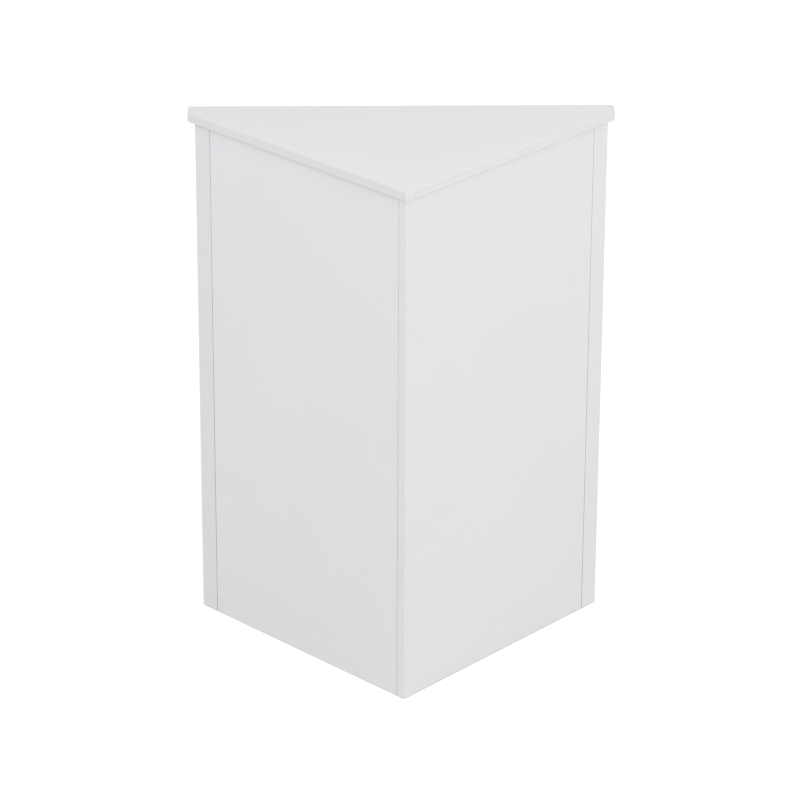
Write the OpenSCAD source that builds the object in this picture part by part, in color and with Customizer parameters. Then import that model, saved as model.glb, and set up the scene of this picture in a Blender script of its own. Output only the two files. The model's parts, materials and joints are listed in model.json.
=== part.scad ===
// Corner bathroom cabinet: a triangular body that stands in the corner of a room, with one door
// The front and its door face -Y, the wall corner points to +Y, and +Z is up
// The origin lies on the floor, under the middle of the cabinet's box

/* [Cabinet] */
// Height from the floor to the upper face of the top board
total_h = 800; // [700:5:900]
// Length of each side that stands along a wall, from the wall corner to the front edge
wall_leg = 423; // [405:1:520]
// How far each vertical edge of the body is eased
edge_ease = 0.5; // [0.3:0.1:1.5]
// Width of the groove along the seam between each wall panel and its stile
seam_gap = 0.9; // [0.2:0.1:1]
// Width of the groove along the seam between the two wall panels
corner_seam_gap = 0.2; // [0.2:0.1:1]
// Depth of these grooves
seam_deep = 3; // [1:0.5:5]

/* [Top board] */
// Thickness of the top board
top_t = 15; // [15:1:22]
// How far the top board stands out past the wall panels
top_wall_overhang = 5; // [0:0.5:12]
// How far the top board stands out past the body's side edges
top_end_overhang = 10; // [6:0.5:25]
// How far the top board stands out past the front frame
top_front_overhang = 29.5; // [24:0.5:60]
// Radius along the edges of the top board
top_edge_r = 2; // [0.5:0.5:5]

/* [Wall panels and boards] */
// Thickness of the two wall panels
panel_t = 15; // [15:1:18]
// Thickness of the bottom board
bottom_t = 15; // [15:1:20]

/* [Front frame] */
// Thickness of the stiles and rails
frame_t = 22; // [20:1:25]
// Width of each stile on the front
stile_w = 60; // [56:1:80]
// Height of the rail under the top board
top_rail_h = 40; // [40:1:80]
// Height of the kick rail, and of the bottom board's upper face
kick_h = 80; // [60:1:120]

/* [Shelves] */
// Thickness of each shelf
shelf_t = 15; // [12:1:22]
// Height of the compartment under the lower shelf
lower_room_h = 224; // [160:1:280]
// Height of the compartment between the two shelves
middle_room_h = 209; // [150:1:260]
// Gap between a shelf and the wall panels
shelf_wall_gap = 2; // [2:0.5:4]
// Gap between a shelf's end and the edge of the door opening
shelf_end_gap = 2.5; // [1:0.5:8]
// How far a shelf stays behind the front frame
shelf_setback = 5; // [2:1:40]
// Half width of the cut at a shelf's rear corner
shelf_nose = 12; // [6:1:30]
// Distance of the rear pins from the wall corner
pin_rear_leg = 90; // [70:1:140]
// Distance of the front pins behind the front frame, along the wall
pin_front_in = 96; // [72:1:140]
// Distance between the pin holes above each other
pin_pitch = 32; // [25:1:50]
// Pin holes for each shelf and column
pin_holes = 3; // [1:2:5]
// Radius of a shelf pin's shank
pin_r = 2.5; // [2:0.5:3]
// Length of the shank in its hole
pin_shank = 8; // [6:0.5:10]
// Radius of the pin's collar
pin_collar_r = 4; // [3.5:0.5:5]
// Thickness of the pin's collar
pin_collar_t = 1.5; // [0.8:0.1:1.8]
// Length of the pin's flat tongue under the shelf
pin_tongue = 9; // [7:0.5:14]
// Width of the tongue
pin_tongue_w = 6; // [5:0.5:7]
// Thickness of the tongue
pin_tongue_t = 3; // [2:0.5:4]

/* [Door] */
// Thickness of the door
door_t = 18; // [18:1:22]
// How far the door covers the front frame all round
door_overlay = 12; // [9:1:16]
// Gap between the door's back and the front frame
door_gap = 2; // [2:0.1:3]
// Width of the door's stiles and rails
door_member_w = 55; // [45:1:80]
// Depth and width of the bevel round the door's window
door_bevel = 4; // [1:0.5:5]
// Thickness of the door panel
door_panel_t = 6; // [5:0.5:7]
// Depth of the groove that holds the panel
groove_depth = 8; // [5:0.5:12]
// Gap at the bottom of the groove
groove_end_gap = 1; // [0.5:0.5:2]
// Gap on each face of the panel and of the tongues
groove_side_gap = 0.1; // [0.1:0.05:0.3]
// How far the door's front edges are eased
door_ease = 1.2; // [0.5:0.1:3]
// Radius of a door bumper
bumper_r = 4; // [3:0.5:5]
// Gap between a bumper and the front frame
bumper_gap = 0.3; // [0.2:0.1:0.5]

/* [Knob] */
// How far the knob stands out from the door
knob_reach = 25; // [20:1:35]
// Radius of the knob's head
knob_r = 14; // [12:0.5:18]
// Radius of the knob's neck
knob_neck_r = 6; // [5:0.5:7]
// Radius of the knob's foot
knob_foot_r = 8.5; // [8:0.5:10]
// Distance of the knob below the door's upper edge
knob_drop = 235; // [100:5:400]
// Radius of the knob screw
knob_screw_r = 2; // [2:0.5:2.5]
// Radius of the knob screw's head
knob_screw_head_r = 4; // [3.5:0.5:5]

/* [Hinges] */
// Height of a hinge
hinge_h = 50; // [40:1:70]
// Distance of each hinge's middle from the door's end
hinge_inset = 90; // [60:1:160]
// Radius of the hinge barrel
barrel_r = 3.5; // [3:0.5:4]
// Radius of the hinge pin
hinge_pin_r = 1.5; // [1.2:0.1:1.8]
// Thickness of the leaves
leaf_t = 1.5; // [1:0.1:1.5]
// Length of the frame leaf from the pin
frame_leaf_w = 20; // [18:1:26]
// Length of the door leaf from the pin
door_leaf_w = 34; // [30:1:40]
// Gap between the barrel and the front frame
barrel_gap = 0.4; // [0.3:0.1:1]
// Gap between the barrel and the door's edge
barrel_side_gap = 1; // [0.5:0.1:2]
// Gap between two knuckles
knuckle_gap = 0.3; // [0.2:0.1:0.5]
// Height between a leaf's two screws
leaf_screw_pitch = 28; // [24:1:40]

/* [Catch] */
// Distance of the catch's middle below the top front rail
catch_drop = 85; // [45:5:180]
// Height of the catch's housing
catch_h = 34; // [30:1:44]
// Thickness of the housing
catch_w = 12; // [11:1:16]
// Depth of the housing
catch_deep = 19; // [16:1:21]
// Length of each ear with a screw
catch_ear = 9; // [9:0.5:12]
// Thickness of the strike plate
strike_t = 1.2; // [0.8:0.1:1.4]
// Gap between the pole plates and the strike plate
strike_gap = 0.3; // [0.2:0.1:0.4]

/* [Fasteners] */
// Radius of a wood screw's shank
screw_r = 1.6; // [1.4:0.1:1.8]
// Radius of a wood screw's head
screw_head_r = 3; // [2.8:0.1:3.4]
// Gap round pins, screws, bolts and dowels in their holes
fit_gap = 0.05; // [0.03:0.01:0.08]
// Radius of a wood dowel
dowel_r = 4; // [3:0.5:4]
// Length of a dowel in a board's face
dowel_in_face = 10; // [8:1:11]
// Length of a dowel in a board's edge
dowel_in_edge = 20; // [16:1:24]
// Radius of a cam lock
cam_r = 7.5; // [6:0.5:7.5]
// Distance of a cam lock's middle from the joint
cam_setback = 24; // [20:1:34]
// Length of a cam bolt's thread in a board's face
cam_thread = 11; // [8:0.5:12]
// Distance of the rear fittings from the wall corner
joint_rear_leg = 110; // [95:1:150]
// Distance of the front fittings behind the front frame, along the wall
joint_front_in = 66; // [64:1:120]
// Distance between a dowel and its cam bolt
dowel_pitch = 32; // [24:1:40]

/* [Hidden] */
$fn = 48;

// A cut that has to reach past a face goes this much further
over = 1;
// A blind hole is this much deeper than what it holds
hole_spare = 0.5;
// Length of a diagonal of a unit square, and its inverse
diag = sqrt(2);
slant = 1 / diag;

// Depths are measured square to the front, from the wall corner
front_d = wall_leg * slant;
back_d = front_d - frame_t;
seam_leg = back_d * diag;
inner_corner_d = panel_t * diag;
inner_half = back_d - inner_corner_d;
body_h = total_h - top_t;
top_half = front_d + top_end_overhang;
top_front_d = front_d + top_front_overhang;
top_rear_d = -top_wall_overhang * diag;

// The middle of the whole box is the origin
front_reach = max(top_front_d, front_d + door_gap + door_t + knob_reach);
corner_y = (front_reach + top_rear_d + top_edge_r * slant) / 2;

opening_half = front_d - stile_w;
opening_top = body_h - top_rail_h;

lower_shelf_z = kick_h + lower_room_h;
upper_shelf_z = lower_shelf_z + shelf_t + middle_room_h;
shelf_corner_d = (panel_t + shelf_wall_gap) * diag;
shelf_half = opening_half - shelf_end_gap;
shelf_front_d = back_d - shelf_setback;

door_half = opening_half + door_overlay;
door_bottom = kick_h - door_overlay;
door_top = opening_top + door_overlay;
door_h = door_top - door_bottom;
window_half = door_half - door_member_w;
groove_t = door_panel_t + 2 * groove_side_gap;
tongue = groove_depth - groove_end_gap;

hinge_x = door_half + barrel_side_gap + barrel_r;
hinge_out = barrel_r + barrel_gap;
lower_hinge_z = door_bottom + hinge_inset;
upper_hinge_z = door_top - hinge_inset;
knuckle_h = (hinge_h - 2 * knuckle_gap) / 3;
frame_screw_edge = 4.6;
frame_screw_x = frame_leaf_w - screw_head_r - frame_screw_edge;
door_screw_edge = 3;
door_screw_x = door_leaf_w - screw_head_r - door_screw_edge;
screw_head_h = 1.6;
screw_tip = 2.5;
screw_point_r = 0.3;
screw_slot_w = 0.7;
screw_slot_deep = 0.8;
frame_screw_l = 16;
door_screw_l = 13;
leaf_corner_r = 3;
pin_end_l = 1;
pin_head_r = hinge_pin_r * 1.8;
pin_head_rise = 0.2;

knob_x = -door_half + door_member_w / 2;
knob_z = door_top - knob_drop;
knob_bite = 10;
knob_screw_head_h = 2.2;
knob_slot_l = 4.8;
knob_slot_w = 0.9;
knob_slot_deep = 1;

catch_ear_t = 3;
catch_x = -opening_half;
catch_z = opening_top - catch_drop;
catch_out = door_gap - strike_t - strike_gap;
catch_screw_l = 13;
catch_screw_z = catch_h / 2 + catch_ear / 2;
pole_t = 1.5;
pole_margin = 4;
pole_h = catch_h - 2 * pole_margin;
magnet_w = 4;
magnet_recess = 1;
catch_back_t = 5;
magnet_deep = catch_deep - catch_back_t;
strike_w = 12;
strike_h = 40;

bottom_axis_z = kick_h - bottom_t / 2;
joint_legs = [joint_rear_leg, seam_leg - joint_front_in];
pin_legs = [pin_rear_leg, seam_leg - pin_front_in];
corner_cams = 3;
corner_margin = 100;
corner_pitch = (body_h - 2 * corner_margin) / (corner_cams - 1);
corner_cam_zs = [for (i = [0:corner_cams - 1]) corner_margin + i * corner_pitch];
kick_cam_x = opening_half / 2;
rail_dowel_zs = [kick_h * 0.3, kick_h * 0.7, body_h - top_rail_h * 0.75, body_h - top_rail_h * 0.25];
cam_bolt_r = 2.5;
cam_shaft_r = 3;
cam_neck_r = 1.8;
cam_head_r = 3.2;
cam_head_l = 3;
cam_neck_l = 4;
cam_under = 4.5;
cam_sunk = 0.3;
cam_head_gap = 0.6;
cam_slot_l = 8;
cam_slot_w = 1.4;
cam_slot_deep = 2;

// A polygon from corners [x, y, flat], each cut back by its flat along both of its sides
function unit(v) = v / norm(v);
function place(corner) = [corner.x, corner.y];
function eased(corners) = [
    for (i = [0:len(corners) - 1])
        let (here = place(corners[i]))
        let (before = place(corners[(i + len(corners) - 1) % len(corners)]))
        let (after = place(corners[(i + 1) % len(corners)]))
        let (flat = corners[i].z)
        each flat == 0
            ? [here]
            : [here + flat * unit(before - here), here + flat * unit(after - here)]
];

// The wall corner at the floor, with the front towards -Y
module at_corner() {
    translate([0, corner_y, 0]) children();
}

// The middle of the front frame's front face at the floor, with the door towards -Y
module at_front() {
    translate([0, corner_y - front_d, 0]) children();
}

// Along a wall: x runs from the wall corner to the front, y from the outer face inwards
module on_wall(side) {
    mirror([side > 0 ? 1 : 0, 0, 0]) at_corner() rotate([0, 0, 225]) children();
}

// Places of the fittings: z points into the board whose edge is joined, and y to its cam's face
module each_corner_cam() {
    on_wall(1) for (z = corner_cam_zs)
        translate([panel_t, panel_t / 2, z]) rotate([0, 90, 0]) children();
}

module each_corner_dowel() {
    on_wall(1) for (z = corner_cam_zs)
        translate([panel_t, panel_t / 2, z + dowel_pitch]) rotate([0, 90, 0]) children();
}

module each_top_cam(sides) {
    for (side = sides, s = joint_legs)
        on_wall(side) translate([s, panel_t / 2, body_h]) rotate([0, 180, 0]) children();
}

module each_top_dowel(sides) {
    for (side = sides, s = joint_legs)
        on_wall(side) translate([s - dowel_pitch, panel_t / 2, body_h]) rotate([0, 180, 0]) children();
}

module each_stile_dowel() {
    for (side = [-1, 1])
        at_front() translate([side * (opening_half + stile_w * 0.4), frame_t / 2, body_h])
            rotate([0, 180, 0]) children();
}

module each_top_rail_dowel() {
    for (side = [-1, 1])
        at_front() translate([side * opening_half / 2, frame_t / 2, body_h])
            rotate([0, 180, 0]) children();
}

module each_bottom_cam(sides) {
    for (side = sides, s = joint_legs)
        on_wall(side) translate([s, panel_t, bottom_axis_z]) rotate([-90, 0, 0]) children();
}

module each_bottom_dowel(sides) {
    for (side = sides, s = joint_legs)
        on_wall(side) translate([s - dowel_pitch, panel_t, bottom_axis_z])
            rotate([-90, 0, 0]) children();
}

module each_kick_cam() {
    for (side = [-1, 1])
        at_front() translate([side * kick_cam_x, frame_t, bottom_axis_z])
            rotate([-90, 0, 0]) children();
}

module each_rail_dowel(side) {
    for (z = rail_dowel_zs)
        at_front() translate([side * opening_half, frame_t / 2, z])
            rotate([0, -side * 90, 0]) children();
}

// Fittings, with z = 0 at the joint between the two boards
module dowel() {
    translate([0, 0, -dowel_in_face])
        cylinder(r = dowel_r, h = dowel_in_face + dowel_in_edge);
}

module dowel_cut() {
    translate([0, 0, -dowel_in_face - hole_spare])
        cylinder(r = dowel_r + fit_gap, h = dowel_in_face + dowel_in_edge + 2 * hole_spare);
}

module cam_bolt() {
    translate([0, 0, -cam_thread]) cylinder(r = cam_bolt_r, h = cam_thread);
    cylinder(r = cam_shaft_r, h = cam_setback - cam_neck_l - cam_head_l / 2);
    cylinder(r = cam_neck_r, h = cam_setback);
    translate([0, 0, cam_setback - cam_head_l / 2]) cylinder(r = cam_head_r, h = cam_head_l);
}

module cam_lock(board_t) {
    body_r = cam_r - fit_gap;
    room_h = 2 * (cam_head_r + hole_spare);
    translate([0, 0, cam_setback])
        rotate([-90, 0, 0])
            difference() {
                translate([0, 0, -cam_under]) cylinder(r = body_r, h = cam_under + board_t / 2 - cam_sunk);
                // The room for the bolt's head, and the way in for it
                cylinder(r = cam_head_r + cam_head_gap, h = room_h, center = true);
                translate([0, cam_r / 2, 0])
                    cube([2 * (cam_shaft_r + hole_spare), cam_r + over, room_h], center = true);
                for (turn = [0, 90])
                    translate([0, 0, board_t / 2])
                        rotate([0, 0, turn])
                            cube([cam_slot_l, cam_slot_w, 2 * cam_slot_deep], center = true);
            }
}

module cam_cut(board_t) {
    translate([0, 0, -cam_thread - hole_spare])
        cylinder(r = cam_bolt_r + fit_gap, h = cam_thread + 2 * hole_spare);
    cylinder(r = cam_shaft_r + hole_spare, h = cam_setback);
    translate([0, 0, cam_setback])
        rotate([-90, 0, 0])
            translate([0, 0, -cam_under - hole_spare])
                cylinder(r = cam_r, h = cam_under + board_t / 2 + 2 * hole_spare);
}

// A countersunk screw that points down from its head's upper face
module wood_screw(length) {
    difference() {
        screw_form(length, 0);
        for (turn = [0, 90])
            rotate([0, 0, turn])
                cube([screw_head_r, screw_slot_w, 2 * screw_slot_deep], center = true);
    }
}

module screw_form(length, gap) {
    translate([0, 0, -screw_head_h])
        cylinder(r1 = screw_r + gap, r2 = screw_head_r + gap, h = screw_head_h);
    translate([0, 0, screw_tip - length])
        cylinder(r = screw_r + gap, h = length - screw_tip - screw_head_h);
    translate([0, 0, -length - gap])
        cylinder(r1 = screw_point_r, r2 = screw_r + gap, h = screw_tip + gap);
}

module screw_cut(length) {
    screw_form(length, fit_gap);
    cylinder(r = screw_head_r + fit_gap, h = over);
}

// Top board
module edge_bar(length, deep) {
    rotate([90, 0, 90])
        linear_extrude(length, center = true) {
            translate([top_edge_r, 0]) square([deep - top_edge_r, top_t]);
            translate([0, top_edge_r]) square([deep, top_t - 2 * top_edge_r]);
            for (z = [top_edge_r, top_t - top_edge_r])
                translate([top_edge_r, z]) circle(r = top_edge_r);
        }
}

module top_board_blank() {
    reach = 2 * top_front_d;
    end_d = top_half + top_rear_d;
    outline = [
        [0, -top_rear_d, top_edge_r],
        [-top_half, -end_d, top_edge_r],
        [-top_half, -top_front_d, top_edge_r],
        [top_half, -top_front_d, top_edge_r],
        [top_half, -end_d, top_edge_r]
    ];
    translate([0, 0, body_h])
        intersection() {
            at_corner() linear_extrude(top_t) polygon(eased(outline));
            intersection_for (side = [-1, 1])
                on_wall(side) translate([reach / 2, -top_wall_overhang, 0]) edge_bar(2 * reach, reach);
            at_corner() translate([0, -top_front_d, 0]) edge_bar(reach, reach);
            intersection_for (side = [-1, 1])
                at_corner() rotate([0, 0, side * 90]) translate([0, -top_half, 0]) edge_bar(2 * reach, reach);
        }
}

module top_board() {
    color("white")
        difference() {
            top_board_blank();
            each_top_cam([-1, 1]) cam_cut(panel_t);
            each_top_dowel([-1, 1]) dowel_cut();
            each_stile_dowel() dowel_cut();
            each_top_rail_dowel() dowel_cut();
        }
}

// The narrow groove along an outer seam, which shows as a dark line
module seam_line(side, start, width) {
    on_wall(side) translate([start, -over, -over])
        cube([width, seam_deep + over, body_h + 2 * over]);
}

// Wall panels: the left one runs through to the wall corner, and the right one butts against it
module wall_panel(side, start) {
    color("white")
        difference() {
            on_wall(side) linear_extrude(body_h) polygon(eased([
                [start, 0, edge_ease],
                [seam_leg, 0, edge_ease],
                [seam_leg - panel_t, panel_t, 0],
                [start, panel_t, side > 0 ? 0 : edge_ease]
            ]));
            seam_line(side, seam_leg - seam_gap, seam_gap);
            if (side > 0) seam_line(side, start, corner_seam_gap);
            each_corner_cam() cam_cut(panel_t);
            each_corner_dowel() dowel_cut();
            each_top_cam([side]) cam_cut(panel_t);
            each_top_dowel([side]) dowel_cut();
            each_bottom_cam([side]) cam_cut(bottom_t);
            each_bottom_dowel([side]) dowel_cut();
            for (shelf_z = [lower_shelf_z, upper_shelf_z])
                for (i = [0:pin_holes - 1])
                    each_pin(side, shelf_z + (i - (pin_holes - 1) / 2) * pin_pitch) pin_cut();
        }
}

module left_wall_panel() {
    wall_panel(-1, 0);
}

module right_wall_panel() {
    wall_panel(1, panel_t);
}

// Front frame: the stiles' outer edges are mitred, flush with the wall panels
module front_stile(side) {
    color("white")
        difference() {
            mirror([side > 0 ? 0 : 1, 0, 0]) at_corner() linear_extrude(body_h) polygon(eased([
                [opening_half, -front_d, edge_ease],
                [front_d, -front_d, 2 * edge_ease],
                [back_d, -back_d, edge_ease],
                [opening_half, -back_d, 0]
            ]));
            seam_line(side, seam_leg - seam_gap, seam_gap);
            each_rail_dowel(side) dowel_cut();
            each_stile_dowel() dowel_cut();
            if (side > 0) {
                each_hinge() frame_leaf_screw_places() screw_cut(frame_screw_l);
            } else {
                catch_screw_places() screw_cut(catch_screw_l);
            }
        }
}

module left_front_stile() {
    front_stile(-1);
}

module right_front_stile() {
    front_stile(1);
}

module top_front_rail() {
    color("white")
        difference() {
            at_front() translate([-opening_half, 0, opening_top])
                cube([2 * opening_half, frame_t, top_rail_h]);
            for (side = [-1, 1]) each_rail_dowel(side) dowel_cut();
            each_top_rail_dowel() dowel_cut();
        }
}

module kick_rail() {
    color("white")
        difference() {
            at_front() translate([-opening_half, 0, 0]) cube([2 * opening_half, frame_t, kick_h]);
            for (side = [-1, 1]) each_rail_dowel(side) dowel_cut();
            each_kick_cam() cam_cut(bottom_t);
        }
}

module bottom_board() {
    color("white")
        difference() {
            at_corner() translate([0, 0, kick_h - bottom_t]) linear_extrude(bottom_t) polygon([
                [0, -inner_corner_d],
                [-inner_half, -back_d],
                [inner_half, -back_d]
            ]);
            each_bottom_cam([-1, 1]) cam_cut(bottom_t);
            each_bottom_dowel([-1, 1]) dowel_cut();
            each_kick_cam() cam_cut(bottom_t);
        }
}

// A three-cornered block in the sharp corner behind each stile
module glue_block(side) {
    color("white")
        mirror([side > 0 ? 0 : 1, 0, 0]) at_corner() translate([0, 0, kick_h])
            linear_extrude(body_h - kick_h) polygon([
                [inner_half, -back_d],
                [opening_half, -back_d],
                [opening_half, -opening_half - inner_corner_d]
            ]);
}

module left_glue_block() {
    glue_block(-1);
}

module right_glue_block() {
    glue_block(1);
}

// Shelves: their ends are cut off, so that they pass through the door opening
module shelf(z) {
    color("white")
        at_corner() translate([0, 0, z]) linear_extrude(shelf_t) polygon([
            [shelf_nose, -shelf_corner_d - shelf_nose],
            [-shelf_nose, -shelf_corner_d - shelf_nose],
            [-shelf_half, -shelf_corner_d - shelf_half],
            [-shelf_half, -shelf_front_d],
            [shelf_half, -shelf_front_d],
            [shelf_half, -shelf_corner_d - shelf_half]
        ]);
}

module lower_shelf() {
    shelf(lower_shelf_z);
}

module upper_shelf() {
    shelf(upper_shelf_z);
}

// Places of the shelf pins: z points from a wall panel's inner face into the cabinet
module each_pin(side, shelf_z) {
    for (s = pin_legs)
        on_wall(side) translate([s, panel_t, shelf_z - pin_tongue_t / 2])
            rotate([-90, 0, 0]) children();
}

module pin_cut() {
    translate([0, 0, -pin_shank - hole_spare])
        cylinder(r = pin_r + fit_gap, h = pin_shank + hole_spare + over);
}

module shelf_pin() {
    translate([0, 0, -pin_shank]) cylinder(r = pin_r, h = pin_shank + pin_collar_t / 2);
    cylinder(r = pin_collar_r, h = pin_collar_t);
    translate([-pin_tongue_w / 2, -pin_tongue_t / 2, 0])
        cube([pin_tongue_w, pin_tongue_t, pin_collar_t + pin_tongue]);
}

module shelf_pins(z) {
    color("silver")
        for (side = [-1, 1]) each_pin(side, z) shelf_pin();
}

module lower_shelf_pins() {
    shelf_pins(lower_shelf_z);
}

module upper_shelf_pins() {
    shelf_pins(upper_shelf_z);
}

// Door: two stiles and two rails, grooved round a flat panel
module at_door() {
    at_front() translate([0, -door_gap - door_t, 0]) children();
}

module door_slab() {
    intersection() {
        translate([0, 0, door_bottom]) linear_extrude(door_h) polygon(eased([
            [-door_half, 0, door_ease],
            [door_half, 0, door_ease],
            [door_half, door_t, 0],
            [-door_half, door_t, 0]
        ]));
        translate([-door_half, 0, 0]) rotate([90, 0, 90]) linear_extrude(2 * door_half) polygon(eased([
            [0, door_bottom, door_ease],
            [0, door_top, door_ease],
            [door_t, door_top, 0],
            [door_t, door_bottom, 0]
        ]));
    }
}

// The window in the door, bevelled at the front
module door_window() {
    low = door_bottom + door_member_w;
    high = door_top - door_member_w;
    intersection() {
        translate([0, 0, low - 2 * door_bevel]) linear_extrude(high - low + 4 * door_bevel) polygon([
            [-window_half - door_bevel - over, -over],
            [window_half + door_bevel + over, -over],
            [window_half, door_bevel],
            [window_half, door_t + over],
            [-window_half, door_t + over],
            [-window_half, door_bevel]
        ]);
        translate([-door_half, 0, 0]) rotate([90, 0, 90]) linear_extrude(2 * door_half) polygon([
            [-over, low - door_bevel - over],
            [-over, high + door_bevel + over],
            [door_bevel, high],
            [door_t + over, high],
            [door_t + over, low],
            [door_bevel, low]
        ]);
    }
}

module door_stile(side) {
    inner = window_half;
    difference() {
        intersection() {
            door_slab();
            translate([side > 0 ? inner : -door_half, 0, door_bottom])
                cube([door_member_w, door_t, door_h]);
        }
        door_window();
        translate([side * (inner + (groove_depth - over) / 2), door_t / 2, (door_bottom + door_top) / 2])
            cube([groove_depth + over, groove_t, door_h + over], center = true);
    }
}

module door_hinge_stile() {
    color("white")
        difference() {
            at_door() door_stile(1);
            each_hinge() door_leaf_screw_places() screw_cut(door_screw_l);
        }
}

module door_knob_stile() {
    color("white")
        difference() {
            at_door() door_stile(-1);
            at_knob() cylinder(r = knob_screw_r + fit_gap, h = 3 * door_t, center = true);
            at_strike() translate([0, 0, strike_t]) screw_cut(door_screw_l);
        }
}

module door_rail(end) {
    outer = end > 0 ? door_top : door_bottom;
    inner = outer - end * door_member_w;
    tongue_h = door_member_w - groove_depth;
    difference() {
        intersection() {
            door_slab();
            translate([-window_half, 0, min(outer, inner)])
                cube([2 * window_half, door_t, door_member_w]);
        }
        door_window();
        translate([0, door_t / 2, inner + end * (groove_depth - over) / 2])
            cube([2 * door_half, groove_t, groove_depth + over], center = true);
    }
    translate([0, door_t / 2, outer - end * tongue_h / 2])
        cube([2 * (window_half + tongue), door_panel_t, tongue_h], center = true);
}

module door_top_rail() {
    color("white") at_door() door_rail(1);
}

module door_bottom_rail() {
    color("white") at_door() door_rail(-1);
}

module door_panel() {
    panel_half = window_half + tongue;
    panel_h = door_h - 2 * (door_member_w - tongue);
    color("white")
        at_door() translate([0, door_t / 2, (door_bottom + door_top) / 2])
            cube([2 * panel_half, door_panel_t, panel_h], center = true);
}

// Soft round bumpers that keep the closed door off the frame
module door_bumpers() {
    color("gainsboro")
        for (z = [door_bottom, door_top])
            at_front()
                translate([
                    -door_half + door_overlay / 2,
                    -door_gap,
                    z + sign(kick_h + body_h - 2 * z) * door_overlay / 2
                ])
                rotate([-90, 0, 0]) bumper();
}

module bumper() {
    rise = door_gap - bumper_gap;
    rotate_extrude()
        intersection() {
            union() {
                square([bumper_r - rise / 2, rise]);
                square([bumper_r, rise / 2]);
                translate([bumper_r - rise / 2, rise / 2]) circle(r = rise / 2);
            }
            square([bumper_r, rise]);
        }
}

// Knob, turned about an axis that points away from the door
module at_knob() {
    at_door() translate([knob_x, 0, knob_z]) rotate([90, 0, 0]) children();
}

module knob_profile() {
    foot_h = 2;
    head_h = knob_reach * 0.4;
    rim_r = head_h * 0.3;
    crown_r = knob_r * 2.2;
    cove_r = (knob_foot_r - knob_neck_r) + 1;
    head_z = knob_reach - head_h;
    square([knob_foot_r, foot_h]);
    square([knob_neck_r, head_z + rim_r]);
    difference() {
        translate([0, foot_h]) square([knob_neck_r + cove_r - 1, cove_r]);
        translate([knob_neck_r + cove_r, foot_h + cove_r]) circle(r = cove_r);
    }
    difference() {
        translate([0, head_z - cove_r]) square([knob_neck_r + cove_r - 1, cove_r + rim_r]);
        translate([knob_neck_r + cove_r, head_z - cove_r]) circle(r = cove_r);
    }
    translate([knob_r - rim_r, head_z + rim_r]) circle(r = rim_r);
    translate([0, head_z]) square([knob_r - rim_r, 2 * rim_r]);
    intersection() {
        translate([0, head_z + rim_r]) square([knob_r - rim_r, head_h]);
        translate([0, knob_reach - crown_r]) circle(r = crown_r, $fn = 96);
    }
}

module knob() {
    color("silver")
        at_knob()
            difference() {
                rotate_extrude() intersection() {
                    knob_profile();
                    square([knob_r, knob_reach]);
                }
                cylinder(r = knob_screw_r + fit_gap, h = 2 * (knob_bite + 1), center = true);
            }
}

module knob_screw() {
    color("silver")
        at_knob()
            difference() {
                union() {
                    translate([0, 0, -door_t]) cylinder(r = knob_screw_r, h = door_t + knob_bite);
                    translate([0, 0, -door_t - knob_screw_head_h])
                        cylinder(r = knob_screw_head_r, h = knob_screw_head_h);
                }
                for (turn = [0, 90])
                    translate([0, 0, -door_t - knob_screw_head_h])
                        rotate([0, 0, turn])
                            cube([knob_slot_l, knob_slot_w, 2 * knob_slot_deep], center = true);
            }
}

// Hinges: each one turns on a single pin beside the door's edge
module at_hinge(z) {
    at_front() translate([hinge_x, -hinge_out, z]) children();
}

module each_hinge() {
    for (z = [lower_hinge_z, upper_hinge_z]) at_hinge(z) children();
}

module frame_leaf_screw_places() {
    for (end = [-1, 1])
        translate([frame_screw_x, hinge_out - leaf_t, end * leaf_screw_pitch / 2])
            rotate([90, 0, 0]) children();
}

module door_leaf_screw_places() {
    for (end = [-1, 1])
        translate([-door_screw_x, hinge_out - door_gap + leaf_t, end * leaf_screw_pitch / 2])
            rotate([-90, 0, 0]) children();
}

// A flat leaf along +x with two rounded corners
module leaf_plate(length) {
    rotate([90, 0, 0])
        linear_extrude(leaf_t, center = true) {
            translate([0, -hinge_h / 2]) square([length - leaf_corner_r, hinge_h]);
            translate([0, leaf_corner_r - hinge_h / 2]) square([length, hinge_h - 2 * leaf_corner_r]);
            for (end = [-1, 1])
                translate([length - leaf_corner_r, end * (hinge_h / 2 - leaf_corner_r)])
                    circle(r = leaf_corner_r);
        }
}

// Room round the knuckles from low to high
module knuckle_room(low, high) {
    translate([0, 0, low - knuckle_gap])
        cylinder(r = barrel_r + knuckle_gap, h = high - low + 2 * knuckle_gap);
}

module knuckle(low, high) {
    translate([0, 0, low]) cylinder(r = barrel_r, h = high - low);
}

module hinge_bore() {
    cylinder(r = hinge_pin_r + fit_gap, h = hinge_h + over, center = true);
}

module frame_leaf(z) {
    half = hinge_h / 2;
    middle = knuckle_h / 2;
    color("silver")
        at_hinge(z)
            difference() {
                union() {
                    difference() {
                        translate([0, hinge_out - leaf_t / 2, 0]) leaf_plate(frame_leaf_w);
                        knuckle_room(-middle, middle);
                    }
                    knuckle(-half, -middle - knuckle_gap);
                    knuckle(middle + knuckle_gap, half);
                }
                hinge_bore();
                frame_leaf_screw_places() screw_cut(frame_screw_l);
            }
}

module door_leaf(z) {
    half = hinge_h / 2;
    middle = knuckle_h / 2;
    color("silver")
        at_hinge(z)
            difference() {
                union() {
                    difference() {
                        translate([0, hinge_out - door_gap + leaf_t / 2, 0])
                            mirror([1, 0, 0]) leaf_plate(door_leaf_w);
                        knuckle_room(-half - over, -middle - knuckle_gap);
                        knuckle_room(middle + knuckle_gap, half + over);
                    }
                    knuckle(-middle, middle);
                }
                hinge_bore();
                door_leaf_screw_places() screw_cut(door_screw_l);
            }
}

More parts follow.
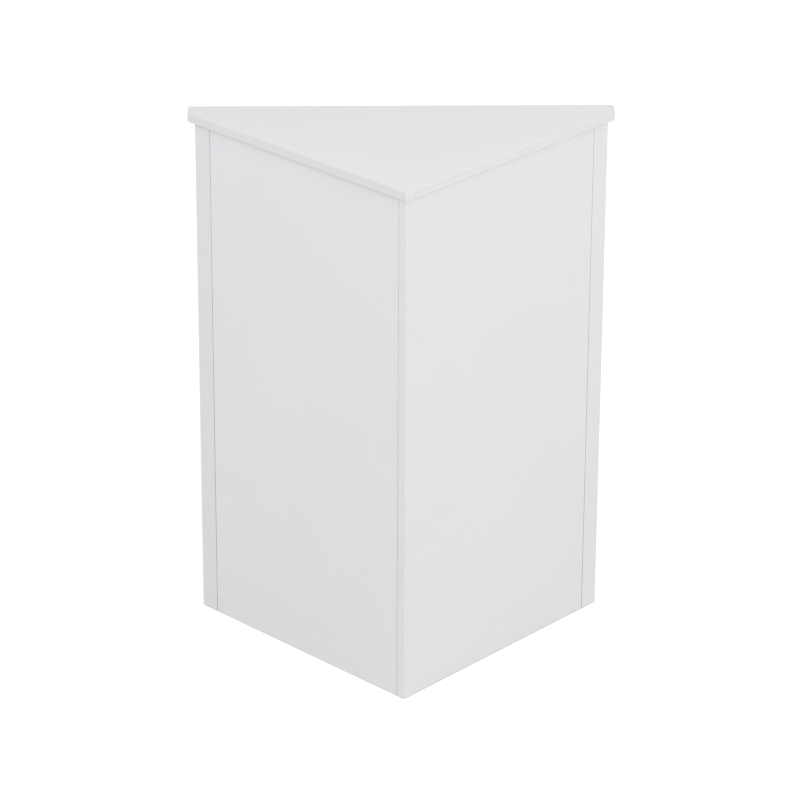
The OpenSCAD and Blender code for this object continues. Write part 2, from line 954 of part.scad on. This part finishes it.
module hinge_pin(z) {
    color("silver")
        at_hinge(z) {
            cylinder(r = hinge_pin_r, h = hinge_h + 2 * pin_end_l, center = true);
            for (end = [0, 1])
                mirror([0, 0, end]) translate([0, 0, hinge_h / 2])
                    intersection() {
                        cylinder(r = pin_head_r, h = pin_head_r);
                        translate([0, 0, pin_head_rise]) sphere(r = pin_head_r);
                    }
        }
}

module upper_hinge_frame_leaf() {
    frame_leaf(upper_hinge_z);
}

module upper_hinge_door_leaf() {
    door_leaf(upper_hinge_z);
}

module upper_hinge_pin() {
    hinge_pin(upper_hinge_z);
}

module lower_hinge_frame_leaf() {
    frame_leaf(lower_hinge_z);
}

module lower_hinge_door_leaf() {
    door_leaf(lower_hinge_z);
}

module lower_hinge_pin() {
    hinge_pin(lower_hinge_z);
}

module frame_leaf_screws() {
    color("silver") each_hinge() frame_leaf_screw_places() wood_screw(frame_screw_l);
}

module door_leaf_screws() {
    color("silver") each_hinge() door_leaf_screw_places() wood_screw(door_screw_l);
}

// Magnetic catch on the knob side: its x points from the stile's edge into the opening
module at_catch() {
    at_front() translate([catch_x, -catch_out, catch_z]) children();
}

module catch_screw_places() {
    for (end = [-1, 1])
        at_catch() translate([catch_ear_t, catch_deep / 2, end * catch_screw_z])
            rotate([0, 90, 0]) children();
}

module catch_housing() {
    ear_h = catch_h + 2 * catch_ear;
    ear_r = catch_ear / 2;
    color("white")
        difference() {
            at_catch() {
                translate([0, 0, -catch_h / 2]) cube([catch_w, catch_deep, catch_h]);
                translate([0, catch_deep / 2 - ear_r, ear_r - ear_h / 2])
                    cube([catch_ear_t, 2 * ear_r, ear_h - 2 * ear_r]);
                for (end = [-1, 1])
                    translate([0, catch_deep / 2, end * (ear_h / 2 - ear_r)])
                        rotate([0, 90, 0]) cylinder(r = ear_r, h = catch_ear_t);
            }
            catch_screw_places() screw_cut(catch_screw_l);
            at_catch() translate([catch_w / 2, 0, 0]) magnet_room();
        }
}

// The pocket for the magnet between its two pole plates
module magnet_room() {
    width = magnet_w + 2 * pole_t + 2 * fit_gap;
    height = pole_h + 2 * fit_gap;
    translate([-width / 2, -over, -height / 2]) cube([width, magnet_deep + over, height]);
}

module catch_magnet() {
    color("dimgray")
        at_catch() translate([catch_w / 2 - magnet_w / 2, magnet_recess, -pole_h / 2])
            cube([magnet_w, magnet_deep - magnet_recess, pole_h]);
}

module catch_pole_plates() {
    color("silver")
        at_catch()
            for (side = [-1, 1])
                translate([catch_w / 2 + side * (magnet_w + pole_t) / 2, magnet_deep / 2, 0])
                    cube([pole_t, magnet_deep, pole_h], center = true);
}

module catch_screws() {
    color("silver") catch_screw_places() wood_screw(catch_screw_l);
}

module at_strike() {
    at_front() translate([catch_x + catch_w / 2, -door_gap, catch_z]) rotate([-90, 0, 0]) children();
}

module strike_plate() {
    corner_r = 2;
    color("silver")
        difference() {
            at_strike() linear_extrude(strike_t) {
                square([strike_w - 2 * corner_r, strike_h], center = true);
                square([strike_w, strike_h - 2 * corner_r], center = true);
                for (i = [-1, 1], j = [-1, 1])
                    translate([i * (strike_w / 2 - corner_r), j * (strike_h / 2 - corner_r)])
                        circle(r = corner_r);
            }
            at_strike() translate([0, 0, strike_t]) screw_cut(door_screw_l);
        }
}

module strike_screw() {
    color("silver") at_strike() translate([0, 0, strike_t]) wood_screw(door_screw_l);
}

module cam_bolts() {
    color("silver") {
        each_corner_cam() cam_bolt();
        each_top_cam([-1, 1]) cam_bolt();
        each_bottom_cam([-1, 1]) cam_bolt();
        each_kick_cam() cam_bolt();
    }
}

module cam_locks() {
    color("silver") {
        each_corner_cam() cam_lock(panel_t);
        each_top_cam([-1, 1]) cam_lock(panel_t);
        each_bottom_cam([-1, 1]) cam_lock(bottom_t);
        each_kick_cam() cam_lock(bottom_t);
    }
}

module dowels() {
    color("burlywood") {
        each_corner_dowel() dowel();
        each_top_dowel([-1, 1]) dowel();
        each_stile_dowel() dowel();
        each_top_rail_dowel() dowel();
        each_bottom_dowel([-1, 1]) dowel();
        for (side = [-1, 1]) each_rail_dowel(side) dowel();
    }
}

top_board();
left_wall_panel();
right_wall_panel();
left_front_stile();
right_front_stile();
top_front_rail();
kick_rail();
bottom_board();
left_glue_block();
right_glue_block();
lower_shelf();
upper_shelf();
lower_shelf_pins();
upper_shelf_pins();
door_hinge_stile();
door_knob_stile();
door_top_rail();
door_bottom_rail();
door_panel();
door_bumpers();
knob();
knob_screw();
upper_hinge_frame_leaf();
upper_hinge_door_leaf();
upper_hinge_pin();
lower_hinge_frame_leaf();
lower_hinge_door_leaf();
lower_hinge_pin();
frame_leaf_screws();
door_leaf_screws();
catch_housing();
catch_magnet();
catch_pole_plates();
catch_screws();
strike_plate();
strike_screw();
cam_bolts();
cam_locks();
dowels();
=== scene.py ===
# Looks of a white corner bathroom cabinet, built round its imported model
# Lengths are in metres; the front faces -Y, the wall corner points to +Y, and +Z is up
import json
import math

import bpy
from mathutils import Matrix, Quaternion, Vector


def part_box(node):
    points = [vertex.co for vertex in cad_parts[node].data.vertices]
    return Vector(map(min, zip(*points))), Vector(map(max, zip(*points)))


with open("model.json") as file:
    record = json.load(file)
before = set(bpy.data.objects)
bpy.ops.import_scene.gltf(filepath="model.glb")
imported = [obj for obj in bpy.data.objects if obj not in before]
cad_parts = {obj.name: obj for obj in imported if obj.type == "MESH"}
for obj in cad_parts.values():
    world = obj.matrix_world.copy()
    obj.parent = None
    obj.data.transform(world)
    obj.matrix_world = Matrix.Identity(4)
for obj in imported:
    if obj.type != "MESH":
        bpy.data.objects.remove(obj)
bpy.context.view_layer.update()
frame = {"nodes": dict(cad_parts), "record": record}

# The photograph's view, from behind the wall corner and a little above, with angles in degrees
IMAGE_PIXELS = 800
FOCAL_PIXELS = 4009.65
SENSOR_WIDTH = 36.0
CAMERA_AZIMUTH = 178.565
CAMERA_ELEVATION = 25.134
CAMERA_ROLL = 0.285104
CAMERA_DISTANCE = 5.645
NEAREST_SEEN = 0.05
FARTHEST_SEEN = 200.0
# What the camera looks at, in the plane across the rear edge
AIM_X = 0.00799
AIM_Z = 0.48217

# Finishes, as linear colours
WHITE = (1, 1, 1, 1)
WHITE_LACQUER = (0.795, 0.795, 0.795, 1)
TOP_LACQUER = (0.791, 0.787, 0.780, 1)
# The top board's edge on the -X side, on the photograph's right, and the one on the +X side, darker
# as painted shade
TOP_EDGE_SHADED_LACQUERS = ((0.774, 0.775, 0.772, 1), (0.750, 0.748, 0.746, 1))
SATIN_NICKEL = (0.53, 0.51, 0.48, 1)
ZINC_PLATE = (0.57, 0.58, 0.60, 1)
ZINC_CASTING = (0.50, 0.51, 0.52, 1)
WHITE_PLASTIC = (0.80, 0.80, 0.79, 1)
FERRITE = (0.035, 0.035, 0.037, 1)
SILICONE = (0.75, 0.76, 0.77, 1)
BEECH_LIGHT = (0.66, 0.47, 0.29, 1)
BEECH_DARK = (0.50, 0.32, 0.17, 1)

# How rough the plated metals are, and how noise is stretched along Z into brushed lines
NICKEL_ROUGHNESS = 0.30
ZINC_ROUGHNESS = 0.34
KNOB_ROUGHNESS = 0.26
LONG_LINES = (1, 1, 0.03)
SHORT_LINES = (1, 1, 0.2)

# How light these boards' coats are next to the others', as painted shade, and any board's edges
# next to its faces
BOARD_PAINTED_SHADES = {
    "left_front_stile": 0.996,
    "right_front_stile": 0.968,
}
EDGE_TONE = 0.976
# How far each board's pattern is moved from that of the node before it
PATTERN_STEP = (0.7, 0.31, 0.53)

# Painted shade in the seams, darker towards the floor: its reach, its lightness at the floor, and
# the height at which it ends
SEAM_REACH = 0.003
SEAM_TONE = 0.05
SEAM_SHADE_HEIGHT = 0.68
# The soft shade in inner corners and under overhangs: its reach and its lightness
SHADE_REACH = 0.03
SHADE_TONE = 0.95
# The photograph's shade under the top board is stronger on the +X side than on the -X side
BOARD_SHADES = {
    "right_wall_panel": 0.926,
    "right_front_stile": 0.926,
    "left_wall_panel": 0.974,
    "left_front_stile": 0.974,
}
# The boards' feet, lighter with painted light from the floor: their height, and their tone at the
# floor
FLOOR_BOUNCE_HEIGHT = 0.055
FLOOR_BOUNCE_TONE = 1.04

# The direction that each board is thin in; one not named here is thin from front to back
SLANT = math.sqrt(0.5)
THIN_WAYS = {
    "top_board": (0, 0, 1),
    "bottom_board": (0, 0, 1),
    "lower_shelf": (0, 0, 1),
    "upper_shelf": (0, 0, 1),
    "left_wall_panel": (-SLANT, SLANT, 0),
    "right_wall_panel": (SLANT, SLANT, 0),
}
FRONT_TO_BACK = (0, 1, 0)
SIDE_TO_SIDE = (1, 0, 0)

# Light
AMBIENT = (0.608, 0.608, 0.608, 1)
FLOOR_COLOUR = (0.86, 0.86, 0.86, 1)
FLOOR_RADIUS = 40
FLOOR_CORNERS = 64
# What the floor's whiteness adds near the cabinet, where its shadow has to show, and far from it
NEAR_LIFT = 0.30
FAR_LIFT = 0.48
NEAR_RADIUS = 0.9
FAR_RADIUS = 2.5
# The lamps, with angles in degrees and the level that each gives a face turned to it
LAMPS = {
    "rear_right_lamp": {
        "azimuth": 222, "elevation": 36, "distance": 2.5, "width": 1.6,
        "level": 0.287, "colour": (1.0, 1.0, 1.0),
    },
    "rear_left_lamp": {
        "azimuth": 130, "elevation": 38, "distance": 2.5, "width": 1.6,
        "level": 0.261, "colour": (0.95, 0.985, 1.055),
    },
    "front_left_lamp": {
        "azimuth": -40, "elevation": 15, "distance": 4.0, "width": 2.0,
        "level": 0.35, "colour": (1.0, 1.0, 1.0),
    },
}
LAMP_TARGET = (0, 0, 0.4)

# A Mix node's sockets: its factor, the two numbers or colours to mix, and the mixed colour
MIX_FACTOR = 0
NUMBER_A, NUMBER_B = 2, 3
COLOUR_A, COLOUR_B = 6, 7
MIXED_COLOUR = 2


def toned(colour, tone):
    """The colour made darker or lighter."""
    return tuple(channel * tone for channel in colour[:3]) + (1,)


# Node trees


class Tree:
    """The node tree of a material or of the world, with one line for each node."""

    def __init__(self, owner):
        owner.use_nodes = True
        self.tree = owner.node_tree
        self.tree.nodes.clear()

    def add(self, kind, **settings):
        node = self.tree.nodes.new(kind)
        for key, value in settings.items():
            setattr(node, key, value)
        return node

    def link(self, source, output, target, entry):
        self.tree.links.new(source.outputs[output], target.inputs[entry])

    def compute(self, operation, *values):
        """A Math node on one or two values, each given as a node and its output."""
        node = self.add("ShaderNodeMath", operation=operation)
        for entry, (source, output) in enumerate(values):
            self.link(source, output, node, entry)
        return node

    def spread(self, source, output, low, high, start=0.3, end=0.7):
        """A value that runs from low to high while the source's runs from start to end."""
        node = self.add("ShaderNodeMapRange")
        node.inputs["From Min"].default_value = start
        node.inputs["From Max"].default_value = end
        node.inputs["To Min"].default_value = low
        node.inputs["To Max"].default_value = high
        self.link(source, output, node, "Value")
        return node

    def share(self, source, start, end):
        """A share that is 0 where the source's value is below start, and 1 where it is past end."""
        return self.spread(source, "Value", 0.0, 1.0, start, end)

    def seen_directly(self):
        """1 for what the camera sees, also in a mirror or through glass, and 0 for other rays."""
        path = self.add("ShaderNodeLightPath")
        seen = self.compute("MAXIMUM", (path, "Is Camera Ray"), (path, "Is Glossy Ray"))
        return self.compute("MAXIMUM", (seen, "Value"), (path, "Is Transmission Ray"))


class Shader(Tree):
    """A material's node tree, round one Principled shader."""

    def __init__(self, name):
        self.material = bpy.data.materials.new(name)
        super().__init__(self.material)
        self.surface = self.add("ShaderNodeBsdfPrincipled")
        self.link(self.surface, "BSDF", self.add("ShaderNodeOutputMaterial"), "Surface")
        self.place = self.add("ShaderNodeTexCoord")

    def set(self, **values):
        """Sets the shader's own sockets; a name's underscores stand for spaces."""
        for key, value in values.items():
            self.surface.inputs[key.replace("_", " ")].default_value = value

    def noise(self, scale, detail=2.0, roughness=0.5, stretch=(1, 1, 1), shift=(0, 0, 0)):
        """Noise in the object's own coordinates, stretched and moved."""
        mapping = self.add("ShaderNodeMapping")
        mapping.inputs["Scale"].default_value = stretch
        mapping.inputs["Location"].default_value = shift
        self.link(self.place, "Object", mapping, "Vector")
        node = self.add("ShaderNodeTexNoise")
        node.inputs["Scale"].default_value = scale
        node.inputs["Detail"].default_value = detail
        node.inputs["Roughness"].default_value = roughness
        self.link(mapping, "Vector", node, "Vector")
        return node

    def facing(self, way):
        """How much the surface faces this way, in the object's own axes, from -1 to 1."""
        node = self.add("ShaderNodeVectorMath", operation="DOT_PRODUCT")
        node.inputs[1].default_value = way
        self.link(self.place, "Normal", node, 0)
        return node

    def along(self, way):
        """How much the surface faces this way or against it."""
        return self.compute("ABSOLUTE", (self.facing(way), "Value"))

    def openness(self, reach, unshaded):
        """How much of the space in front is open up to this reach, or all of it where unshaded."""
        node = self.add("ShaderNodeAmbientOcclusion", samples=8)
        node.inputs["Distance"].default_value = reach
        return self.compute("MAXIMUM", (node, "AO"), (unshaded, "Result"))

    def upward(self, low, high, height):
        """A value that runs from low at the floor to high at this height."""
        place = self.add("ShaderNodeSeparateXYZ")
        self.link(self.place, "Object", place, "Vector")
        return self.spread(place, "Z", low, high, start=0.0, end=height)

    def with_floor_bounce(self, value):
        """The value, but at the floor the tone of painted light from the floor on the boards' feet.
        """
        node = self.add("ShaderNodeMix", data_type="FLOAT")
        clear = self.upward(low=0.0, high=1.0, height=FLOOR_BOUNCE_HEIGHT)
        self.link(clear, "Result", node, MIX_FACTOR)
        node.inputs[NUMBER_A].default_value = FLOOR_BOUNCE_TONE
        self.link(value, "Result", node, NUMBER_B)
        return node

    def blend(self, factor, output, first, second):
        """A colour between two others, of which the first may be a mixed one."""
        node = self.add("ShaderNodeMix", data_type="RGBA")
        self.link(factor, output, node, MIX_FACTOR)
        if isinstance(first, tuple):
            node.inputs[COLOUR_A].default_value = first
        else:
            self.link(first, MIXED_COLOUR, node, COLOUR_A)
        node.inputs[COLOUR_B].default_value = second
        return node

    def darkened(self, colour, tone):
        """A mixed colour multiplied by a tone."""
        node = self.add("ShaderNodeMix", data_type="RGBA", blend_type="MULTIPLY")
        node.inputs[MIX_FACTOR].default_value = 1.0
        self.link(colour, MIXED_COLOUR, node, COLOUR_A)
        self.link(tone, "Result", node, COLOUR_B)
        return node

    def paint(self, colour):
        """Makes a mixed colour the surface's base colour."""
        self.link(colour, MIXED_COLOUR, self.surface, "Base Color")

    def mottle(self, pattern, colour, darkest, lightest):
        """Paints the surface in a colour that is darker and lighter as the pattern says."""
        self.paint(self.blend(pattern, "Fac", toned(colour, darkest), toned(colour, lightest)))

    def gloss(self, pattern, low, high):
        """Lets the roughness run from low to high as the pattern does."""
        self.link(self.spread(pattern, "Fac", low, high), "Result", self.surface, "Roughness")

    def bump(self, pattern, height, strength, under=None):
        """Fine relief from the pattern, over that of another bump node."""
        node = self.add("ShaderNodeBump")
        node.inputs["Strength"].default_value = strength
        node.inputs["Distance"].default_value = height
        self.link(pattern, "Fac", node, "Height")
        if under:
            self.link(under, "Normal", node, "Normal")
        return node

    def roughen(self, pattern, height, strength, under=None):
        """Gives the surface fine relief."""
        self.link(self.bump(pattern, height, strength, under), "Normal", self.surface, "Normal")


# Materials


def board_coats(board):
    """The colour of a board's faces, darker on some as painted shade, and the two of its edges on
    the -X and the +X side.
    """
    if board == "top_board":
        return TOP_LACQUER, TOP_EDGE_SHADED_LACQUERS
    face = toned(WHITE_LACQUER, BOARD_PAINTED_SHADES.get(board, 1.0))
    edge = toned(face, EDGE_TONE)
    return face, (edge, edge)


def board_colour(shader, board):
    """The coat before seam and corner shade: the faces' colour, and the edges' where the surface
    turns from the faces.
    """
    face, edges = board_coats(board)
    # On the top board the +X edge is darker than the -X edge, as painted shade
    side = shader.share(shader.facing(SIDE_TO_SIDE), start=-0.5, end=0.5)
    edge = shader.blend(side, "Result", *edges)
    thin_way = THIN_WAYS.get(board, FRONT_TO_BACK)
    flat = shader.share(shader.along(thin_way), start=0.35, end=0.65)
    return shader.blend(flat, "Result", edge, face)


def white_board(board, shift):
    """Satin lacquer on fibreboard: orange peel, soft clouds, painted shade in seams and corners,
    painted light at the feet.
    """
    shader = Shader(f"lacquer_{board}")
    shader.set(IOR=1.5)
    clouds = shader.noise(scale=6.0, detail=3.0, shift=shift)
    coat = board_colour(shader, board)
    coat = shader.darkened(coat, shader.spread(clouds, "Fac", low=0.995, high=1.005))
    # The faces that the shut door covers get no painted shade, because they show when it is open
    unshaded = shader.share(shader.along(FRONT_TO_BACK), start=0.8, end=0.95)
    # Painted shade in the seams, darkest near the floor and gone above a height
    seam = shader.openness(SEAM_REACH, unshaded)
    seam_shade = shader.spread(seam, "Value", low=SEAM_TONE, high=1.0, start=0.15, end=0.75)
    lightness = shader.upward(low=SEAM_TONE, high=1.0, height=SEAM_SHADE_HEIGHT)
    shader.link(lightness, "Result", seam_shade, "To Min")
    coat = shader.darkened(coat, seam_shade)
    # Painted shade in inner corners and under overhangs, with painted floor light at the boards'
    # feet
    corner = shader.openness(SHADE_REACH, unshaded)
    tone = BOARD_SHADES.get(board, SHADE_TONE)
    shade = shader.spread(corner, "Value", low=tone, high=1.0, start=0.9, end=1.0)
    shader.paint(shader.darkened(coat, shader.with_floor_bounce(shade)))
    wipes = shader.noise(scale=18.0, detail=4.0, roughness=0.6, shift=shift)
    shader.gloss(wipes, low=0.36, high=0.46)
    peel = shader.noise(scale=520.0, detail=1.0, shift=shift)
    ripple = shader.noise(scale=90.0, detail=1.0, shift=shift)
    fine = shader.bump(peel, height=0.00002, strength=0.5)
    shader.roughen(ripple, height=0.00006, strength=0.4, under=fine)
    return shader.material


def brushed_metal(name, colour, roughness, stretch):
    """Plated metal with fine lines along its longer side."""
    shader = Shader(name)
    shader.set(Metallic=1.0)
    lines = shader.noise(scale=2600.0, detail=3.0, stretch=stretch)
    shader.mottle(shader.noise(scale=60.0), colour, darkest=0.95, lightest=1.03)
    shader.gloss(lines, low=roughness - 0.05, high=roughness + 0.07)
    shader.roughen(lines, height=0.000003, strength=0.5)
    return shader.material


def turned_metal(name, colour, roughness):
    """Plated metal with fine rings round the knob's own axis."""
    shader = Shader(name)
    shader.set(Metallic=1.0)
    low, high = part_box("knob")
    centred = shader.add("ShaderNodeVectorMath", operation="SUBTRACT")
    centred.inputs[1].default_value = (low + high) / 2
    shader.link(shader.place, "Object", centred, 0)
    rings = shader.add("ShaderNodeTexWave", wave_type="RINGS", rings_direction="Y")
    rings.inputs["Scale"].default_value = 900.0
    rings.inputs["Distortion"].default_value = 1.5
    rings.inputs["Detail"].default_value = 2.0
    shader.link(centred, "Vector", rings, "Vector")
    cloud = shader.noise(scale=80.0)
    shader.mottle(cloud, colour, darkest=0.96, lightest=1.03)
    shader.gloss(cloud, low=roughness - 0.03, high=roughness + 0.05)
    shader.roughen(rings, height=0.000008, strength=0.4)
    return shader.material


def cast_metal(name, colour):
    """A bare die casting, with a dull sandy skin."""
    shader = Shader(name)
    shader.set(Metallic=1.0)
    skin = shader.noise(scale=1400.0, detail=4.0, roughness=0.7)
    shader.mottle(skin, colour, darkest=0.85, lightest=1.1)
    shader.gloss(skin, low=0.42, high=0.6)
    shader.roughen(skin, height=0.00006, strength=0.6)
    return shader.material


def moulded_plastic(name, colour):
    """Plastic with the fine grain of a spark-eroded mould."""
    shader = Shader(name)
    shader.set(IOR=1.46)
    grain = shader.noise(scale=2600.0, roughness=0.6)
    shader.mottle(shader.noise(scale=40.0), colour, darkest=0.985, lightest=1.01)
    shader.gloss(grain, low=0.40, high=0.52)
    shader.roughen(grain, height=0.00003, strength=0.5)
    return shader.material


def ferrite(name, colour):
    """A dull black sintered magnet with lighter specks."""
    shader = Shader(name)
    specks = shader.noise(scale=3000.0, detail=3.0, roughness=0.8)
    shader.mottle(specks, colour, darkest=0.7, lightest=2.2)
    shader.gloss(specks, low=0.55, high=0.75)
    shader.roughen(specks, height=0.00004, strength=0.6)
    return shader.material


def silicone(name, colour):
    """Soft, cloudy silicone that lets some light through."""
    shader = Shader(name)
    shader.set(IOR=1.41, Transmission_Weight=0.55, Subsurface_Weight=0.2)
    haze = shader.noise(scale=300.0)
    shader.mottle(haze, colour, darkest=0.97, lightest=1.05)
    shader.gloss(haze, low=0.28, high=0.42)
    return shader.material


def beech(name, dark, light):
    """Bare beech with short dark rays in long grain."""
    shader = Shader(name)
    grain = shader.noise(scale=700.0, detail=5.0, roughness=0.65, stretch=(1, 1, 0.12))
    shader.paint(shader.blend(grain, "Fac", dark, light))
    shader.gloss(grain, low=0.6, high=0.8)
    shader.roughen(grain, height=0.00008, strength=0.5)
    return shader.material


def finish_nodes():
    """Gives each CAD node the finish of its slot in the record."""
    slots = {row["node"]: row["material_slot"] for row in frame["record"]["subparts"]}
    shared = {
        "satin_nickel": brushed_metal("satin_nickel", SATIN_NICKEL, NICKEL_ROUGHNESS, LONG_LINES),
        "zinc_steel": brushed_metal("zinc_steel", ZINC_PLATE, ZINC_ROUGHNESS, SHORT_LINES),
        "zinc_alloy": cast_metal("zinc_alloy", ZINC_CASTING),
        "white_plastic": moulded_plastic("white_plastic", WHITE_PLASTIC),
        "black_magnet": ferrite("black_magnet", FERRITE),
        "clear_rubber": silicone("clear_rubber", SILICONE),
        "beech": beech("beech", BEECH_DARK, BEECH_LIGHT),
    }
    for order, (name, node) in enumerate(sorted(frame["nodes"].items())):
        if name == "knob":
            finish = turned_metal("turned_nickel", SATIN_NICKEL, KNOB_ROUGHNESS)
        elif slots[name] == "white_board":
            finish = white_board(name, [step * order for step in PATTERN_STEP])
        else:
            finish = shared[slots[name]]
        node.data.materials.clear()
        node.data.materials.append(finish)


# Stage


def make_world():
    """White where the camera sees it, and even soft light on the surfaces."""
    world = bpy.data.worlds.new("studio")
    bpy.context.scene.world = world
    tree = Tree(world)
    ambient = tree.add("ShaderNodeBackground")
    ambient.inputs["Color"].default_value = AMBIENT
    backdrop = tree.add("ShaderNodeBackground")
    backdrop.inputs["Color"].default_value = WHITE
    choice = tree.add("ShaderNodeMixShader")
    tree.link(tree.seen_directly(), "Value", choice, 0)
    tree.link(ambient, "Background", choice, 1)
    tree.link(backdrop, "Background", choice, 2)
    tree.link(choice, "Shader", tree.add("ShaderNodeOutputWorld"), "Surface")


def floor_paint():
    """Pale paint that looks white to the camera but for the cabinet's soft shadow."""
    material = bpy.data.materials.new("studio_floor")
    tree = Tree(material)
    paint = tree.add("ShaderNodeBsdfDiffuse")
    paint.inputs["Color"].default_value = FLOOR_COLOUR
    radius = tree.add("ShaderNodeVectorMath", operation="LENGTH")
    tree.link(tree.add("ShaderNodeTexCoord"), "Object", radius, 0)
    level = tree.spread(radius, "Value", NEAR_LIFT, FAR_LIFT, start=NEAR_RADIUS, end=FAR_RADIUS)
    strength = tree.compute("MULTIPLY", (tree.seen_directly(), "Value"), (level, "Result"))
    lift = tree.add("ShaderNodeEmission")
    tree.link(strength, "Value", lift, "Strength")
    both = tree.add("ShaderNodeAddShader")
    tree.link(paint, "BSDF", both, 0)
    tree.link(lift, "Emission", both, 1)
    tree.link(both, "Shader", tree.add("ShaderNodeOutputMaterial"), "Surface")
    return material


def make_floor():
    """A wide round floor."""
    turns = [2 * math.pi * corner / FLOOR_CORNERS for corner in range(FLOOR_CORNERS)]
    rim = [(math.cos(turn) * FLOOR_RADIUS, math.sin(turn) * FLOOR_RADIUS, 0) for turn in turns]
    mesh = bpy.data.meshes.new("studio_floor")
    mesh.from_pydata(rim, [], [list(range(FLOOR_CORNERS))])
    mesh.materials.append(floor_paint())
    floor = bpy.data.objects.new("studio_floor", mesh)
    bpy.context.scene.collection.objects.link(floor)


def look_at(name, data, target, azimuth, elevation, distance, roll=0.0):
    """An object that looks at the target from these angles in degrees and this far away."""
    turn, rise = math.radians(azimuth), math.radians(elevation)
    level = math.cos(rise)
    back = Vector((math.sin(turn) * level, -math.cos(turn) * level, math.sin(rise)))
    looker = bpy.data.objects.new(name, data)
    looker.location = Vector(target) + back * distance
    looker.rotation_mode = "QUATERNION"
    upright = (-back).to_track_quat("-Z", "Y")
    looker.rotation_quaternion = upright @ Quaternion((0, 0, 1), math.radians(roll))
    bpy.context.scene.collection.objects.link(looker)
    return looker


def make_lamp(name, azimuth, elevation, distance, width, level, colour):
    """A square soft light that gives a face turned to it about this level."""
    light = bpy.data.lights.new(name, "AREA")
    light.size = width
    light.color = colour
    # A small far lamp gives a face energy / (pi * pi * distance squared)
    light.energy = level * (math.pi * distance) ** 2
    look_at(name, light, LAMP_TARGET, azimuth, elevation, distance)


def make_camera():
    """The photograph's camera."""
    data = bpy.data.cameras.new("camera")
    data.sensor_width = SENSOR_WIDTH
    data.lens = FOCAL_PIXELS / IMAGE_PIXELS * SENSOR_WIDTH
    data.clip_start = NEAREST_SEEN
    data.clip_end = FARTHEST_SEEN
    target = (AIM_X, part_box("left_wall_panel")[1].y, AIM_Z)
    angles = CAMERA_AZIMUTH, CAMERA_ELEVATION
    camera = look_at("camera", data, target, *angles, CAMERA_DISTANCE, roll=CAMERA_ROLL)
    bpy.context.scene.camera = camera


finish_nodes()
make_world()
make_floor()
for name, lamp in LAMPS.items():
    make_lamp(name, **lamp)
make_camera()
bpy.context.scene.view_settings.view_transform = "Standard"
